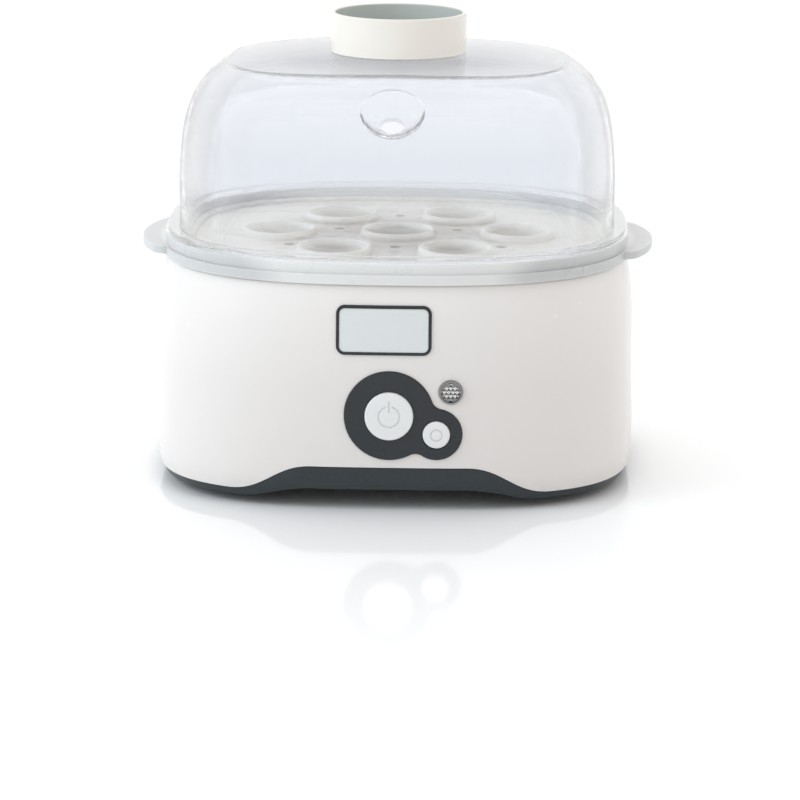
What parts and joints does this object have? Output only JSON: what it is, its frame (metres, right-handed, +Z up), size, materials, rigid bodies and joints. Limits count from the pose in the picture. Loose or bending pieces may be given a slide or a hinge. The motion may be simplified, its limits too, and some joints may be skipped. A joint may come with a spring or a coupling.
{
  "type": "egg cooker",
  "caption": "Electric egg cooker with a seated egg tray over a heating pan, a clear lift-off lid with steam scoop, push buttons and a measuring cup on top",
  "frame": {"origin": "on the table under the middle of the object's bounding box", "axes": "+X to the object's left-to-right width over the ears, seen from the front; -Y is the front with the buttons; +Z up"},
  "size_m": [0.213, 0.1924, 0.1895],
  "materials": {
    "housing_white": "glossy moulded ABS, very slightly warm white",
    "base_dark": "fine satin dark grey plastic",
    "bezel_dark": "dark grey satin-gloss trim",
    "button_white": "glossy white, engraved symbol",
    "badge_plate": "pale plain plate",
    "lens_clear": "clear ribbed lens",
    "lens_ring": "bright plated ring",
    "lamp_clear": "smoky clear LED body",
    "rubber_dark": "dark elastomer",
    "seal_silicone": "translucent silicone",
    "pan_steel": "stainless, polished with fine turning marks",
    "heater_sheath": "heater sheath, dull",
    "aluminium_plain": "rolled aluminium",
    "steel_zinc": "zinc-plated fasteners and springs",
    "phenolic_black": "moulded switch and sensor bodies",
    "block_cream": "terminal block plastic",
    "board_green": "circuit board laminate",
    "wire_sleeve": "silicone-sleeved wire",
    "tray_milky": "milky translucent polypropylene",
    "lid_clear": "clear polycarbonate with a faint cool tint",
    "cup_white": "glossy white plastic",
    "pin_steel": "polished steel pin"
  },
  "bodies": {
    "base": {"base_housing": "housing_white", "base_bottom": "base_dark", "rubber_feet": "rubber_dark", "bottom_screws": "steel_zinc", "heating_plate": "pan_steel", "plate_seal": "seal_silicone", "heater_element": "heater_sheath", "heat_spreader": "aluminium_plain", "heat_shield": "aluminium_plain", "plate_nuts": "steel_zinc", "thermostat": "phenolic_black", "thermostat_clip": "steel_zinc", "thermal_fuse": "wire_sleeve", "control_bezel": "bezel_dark", "badge_frame": "bezel_dark", "badge_plate": "badge_plate", "power_spring": "steel_zinc", "mode_spring": "steel_zinc", "lens_ring": "lens_ring", "indicator_lens": "lens_clear", "indicator_lamp": "lamp_clear", "control_board": "board_green", "board_screws": "steel_zinc", "power_switch": "phenolic_black", "mode_switch": "phenolic_black", "buzzer": "phenolic_black", "terminal_block": "block_cream", "cord_bush": "rubber_dark", "cord_clamp": "phenolic_black", "clamp_screws": "steel_zinc", "heater_wires": "wire_sleeve", "board_wires": "wire_sleeve"},
    "power_button": {"power_button": "button_white"},
    "mode_button": {"mode_button": "button_white"},
    "egg_tray": {"egg_tray": "tray_milky"},
    "lid": {"lid": "lid_clear"},
    "measuring_cup": {"measuring_cup": "cup_white", "piercing_pin": "pin_steel"}
  },
  "joints": [
    {"name": "power_press", "type": "slide", "parent": "base", "child": "power_button", "axis": [0, 1, 0], "range_m": [0, 0.002], "stiffness_N_per_m": 600, "deforming": ["power_spring"]},
    {"name": "mode_press", "type": "slide", "parent": "base", "child": "mode_button", "axis": [0, 1, 0], "range_m": [0, 0.0012], "stiffness_N_per_m": 400, "deforming": ["mode_spring"]},
    {"name": "tray_lift", "type": "slide", "parent": "base", "child": "egg_tray", "axis": [0, 0, 1], "range_m": [0, 0.12]},
    {"name": "lid_lift", "type": "slide", "parent": "egg_tray", "child": "lid", "axis": [0, 0, 1], "range_m": [0, 0.12]},
    {"name": "cup_lift", "type": "slide", "parent": "lid", "child": "measuring_cup", "axis": [0, 0, 1], "range_m": [0, 0.06]}
  ]
}
